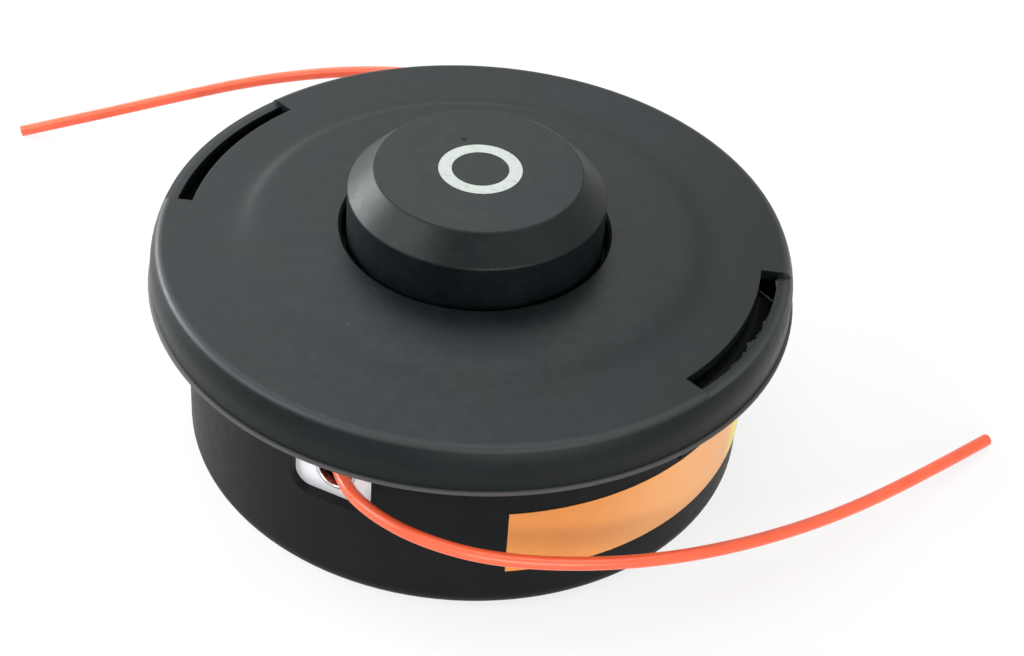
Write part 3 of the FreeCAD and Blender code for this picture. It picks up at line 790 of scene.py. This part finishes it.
def add_piece(name: str, shape: bmesh.types.BMesh, finish: Finish, body: str) -> bpy.types.Object:
    """Turns a shape into a smooth piece that rides on a body.

    Args:
        name: The piece's name.
        shape: Its mesh, which is freed.
        finish: What it is dressed in.
        body: The body that it moves with.

    Returns:
        The piece.
    """
    bmesh.ops.remove_doubles(shape, verts=shape.verts, dist=MERGE_DISTANCE)
    bmesh.ops.recalc_face_normals(shape, faces=shape.faces)
    mesh = bpy.data.meshes.new(name)
    shape.to_mesh(mesh)
    shape.free()
    mesh.materials.append(finish.material)
    mesh.shade_smooth()
    mesh.set_sharp_from_angle(angle=SHARP_ANGLE)
    piece = bpy.data.objects.new(name, mesh)
    bpy.context.scene.collection.objects.link(piece)
    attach(piece, body)
    LOG.info("%s built with %d faces", name, len(mesh.polygons))
    return piece


def wind(shape: bmesh.types.BMesh, wire: float, start: Point, turns: float, rise: float) -> None:
    """Adds a round wire wound about the spin axis, closed at both ends.

    Args:
        shape: The mesh that it goes into.
        wire: The wire's radius.
        start: The middle of its first section, in the XZ plane.
        turns: The number of turns.
        rise: How far it climbs in all.
    """
    steps = max(3, round(turns * STEPS_A_TURN))
    place = Matrix.Translation(start) @ Matrix.Rotation(math.pi / 2, 4, "X")
    ring = bmesh.ops.create_circle(shape, segments=WIRE_SIDES, radius=wire, matrix=place)["verts"]
    rim = list({edge for vert in ring for edge in vert.link_edges})
    swept = bmesh.ops.spin(shape, geom=ring + rim, cent=SPIN_CENTRE, axis=SPIN_AXIS,
                           dvec=(0.0, 0.0, rise / steps), angle=2 * math.pi * turns, steps=steps)
    far = [item for item in swept["geom_last"] if isinstance(item, bmesh.types.BMEdge)]
    bmesh.ops.holes_fill(shape, edges=rim + far, sides=0)


@dataclass(frozen=True)
class KnobPrint:
    """The pale ring printed on top of the knob."""

    outer: float = 8.5 * MM
    inner: float = 5.82 * MM
    thickness: float = 0.05 * MM
    off_centre: Point = (0.3 * MM, 0.14 * MM, 0.0)
    steps: int = 128

    def build(self) -> None:
        """Builds the ring as a thin slab on the knob."""
        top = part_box("bump_knob")[1][2]
        middle = Vector(((self.inner + self.outer) / 2, 0.0, top + self.thickness / 2))
        size = Matrix.Diagonal((self.outer - self.inner, self.thickness, 1.0, 1.0))
        place = Matrix.Translation(middle) @ Matrix.Rotation(math.pi / 2, 4, "X") @ size
        shape = bmesh.new()
        corners = bmesh.ops.create_grid(shape, x_segments=1, y_segments=1, size=0.5, matrix=place)["verts"]
        bmesh.ops.delete(shape, geom=shape.faces[:], context="FACES_ONLY")
        bmesh.ops.spin(shape, geom=corners + shape.edges[:], cent=SPIN_CENTRE, axis=SPIN_AXIS,
                       angle=2 * math.pi, steps=self.steps, use_merge=True)
        bmesh.ops.translate(shape, verts=shape.verts[:], vec=self.off_centre)
        add_piece("knob_print", shape, Finish.INK, "spool")


@dataclass(frozen=True)
class BumpSpring:
    """The round-wire spring about the post, built at one length, though it shortens as the knob is pressed.
    """

    wire: float = 0.9 * MM
    mean_radius: float = 13.8 * MM
    turns: float = 3.5
    travel: float = 7.0 * MM

    def build(self) -> None:
        """Builds the spring in place of its CAD solid."""
        low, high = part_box("spring")
        shape = bmesh.new()
        rise = high[2] - low[2] - 2 * self.wire
        wind(shape, self.wire, (self.mean_radius, 0.0, low[2] + self.wire), self.turns, rise)
        piece = add_piece("spring_wire", shape, Finish.SPRING, "housing")
        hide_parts("spring")
        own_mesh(piece)


@dataclass(frozen=True)
class WoundLine:
    """The cutting line wound in one chamber of the spool, layer on layer."""

    node: str
    inner: float = 30.9 * MM
    line: float = 1.35 * MM
    pitch: float = 2.76 * MM

    def build(self) -> None:
        """Builds the layers in place of the chamber's CAD ring."""
        low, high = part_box(self.node)
        outer = high[0]
        rise = high[2] - low[2] - 2 * self.line
        shape = bmesh.new()
        for layer in range(int((outer - self.inner) / self.pitch)):
            radius = outer - self.line - layer * self.pitch
            wind(shape, self.line, (radius, 0.0, low[2] + self.line), rise / self.pitch, rise)
        piece = add_piece(f"{self.node}_turns", shape, Finish.LINE, "spool")
        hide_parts(self.node)


@dataclass(frozen=True)
class SlotFlash:
    """A whisker of moulding flash that bridges the cover's right slot."""

    inner: Point = (57.6 * MM, 13.9 * MM, 48.0 * MM)
    outer: Point = (61.2 * MM, 12.2 * MM, 47.9 * MM)
    thickness: float = 0.22 * MM
    height: float = 0.5 * MM
    cuts: int = 7
    raggedness: float = 0.1 * MM
    long_wave: float = 0.31 * MM
    short_wave: float = 0.13 * MM

    def build(self) -> None:
        """Builds the whisker as one thin bar, ragged along its upper edge."""
        start, end = Vector(self.inner), Vector(self.outer)
        along = end - start
        turn = Matrix.Rotation(math.atan2(along.y, along.x), 4, "Z")
        size = Matrix.Diagonal((along.length, self.thickness, self.height, 1.0))
        shape = bmesh.new()
        bmesh.ops.create_cube(shape, size=1.0, matrix=Matrix.Translation((start + end) / 2) @ turn @ size)
        bmesh.ops.subdivide_edges(shape, edges=shape.edges[:], cuts=self.cuts, use_grid_fill=True)
        for vert in shape.verts:
            run = (vert.co - start).dot(along) / along.length
            lift = math.sin(run / self.long_wave) + 0.6 * math.sin(run / self.short_wave)
            vert.co.z += self.raggedness * lift * (vert.co.z > start.z)
        add_piece("slot_flash", shape, Finish.COVER, "housing")


@dataclass(frozen=True)
class RaggedEdge:
    """Torn flash along the outer edge of the cover's right slot.

    Each wave of its inner edge is a height, a count and a start.
    """

    radius: float = 62.75 * MM
    first_angle: float = math.radians(-13.0)
    last_angle: float = math.radians(9.5)
    ledge: float = 47.8 * MM
    reach: float = 0.75 * MM
    thickness: float = 0.35 * MM
    sunk_share: float = 0.75
    steps: int = 120
    waves: tuple[Point, ...] = ((1.0, 17.0, 0.0), (0.8, 41.0, 1.0), (0.5, 97.0, 0.0))

    def build(self) -> None:
        """Builds the flash as a thin strip on the ledge whose inner edge wanders."""
        shape = bmesh.new()
        bmesh.ops.create_grid(shape, x_segments=self.steps, y_segments=1, size=0.5)
        swept = bmesh.ops.extrude_face_region(shape, geom=shape.faces[:])["geom"]
        raised = [item for item in swept if isinstance(item, bmesh.types.BMVert)]
        bmesh.ops.translate(shape, verts=raised, vec=(0.0, 0.0, 1.0))
        for vert in shape.verts:
            share = vert.co.x + 0.5
            inward = (0.5 - vert.co.y) * self.reach * self.torn(share)
            angle = self.first_angle + share * (self.last_angle - self.first_angle)
            height = self.ledge - self.thickness * (self.sunk_share - vert.co.z)
            vert.co = Matrix.Rotation(angle, 3, "Z") @ Vector((self.radius - inward, 0.0, height))
        add_piece("slot_edge_flash", shape, Finish.COVER, "housing")

    def torn(self, share: float) -> float:
        """How far the edge reaches at a share of its length, from 0 to about 1.5."""
        wander = sum(height * math.sin(count * share + start) for height, count, start in self.waves)
        return math.sin(math.pi * share) * max(0.15, 0.55 + 0.42 * wander)


NODE_FINISHES = {
    "housing": Finish.HOUSING,
    "cover": Finish.COVER,
    "bump_knob": Finish.KNOB,
    "spool": Finish.SPOOL,
    "drive_insert": Finish.INSERT,
    "eyelet_plate_front": Finish.PLATE,
    "eyelet_plate_rear": Finish.PLATE,
    "eyelet_bush_front": Finish.EYELET,
    "eyelet_bush_rear": Finish.EYELET,
    "side_label": Finish.LABEL,
    "spring_seat": Finish.SPRING,
}


def main() -> None:
    """Builds the studio and the head, piece by piece."""
    logging.basicConfig(level=logging.INFO, format="%(name)s: %(message)s")
    bpy.context.scene.view_settings.view_transform = "Standard"
    Studio().build()
    PhotoCamera().build()
    for line in (FRONT_LINE, REAR_LINE):
        line.build()
    for node in ("line_coil_lower", "line_coil_upper"):
        WoundLine(node).build()
    BumpSpring().build()
    KnobPrint().build()
    SlotFlash().build()
    RaggedEdge().build()
    for node, finish in NODE_FINISHES.items():
        dress(node, finish)


if __name__ == "__main__":
    main()
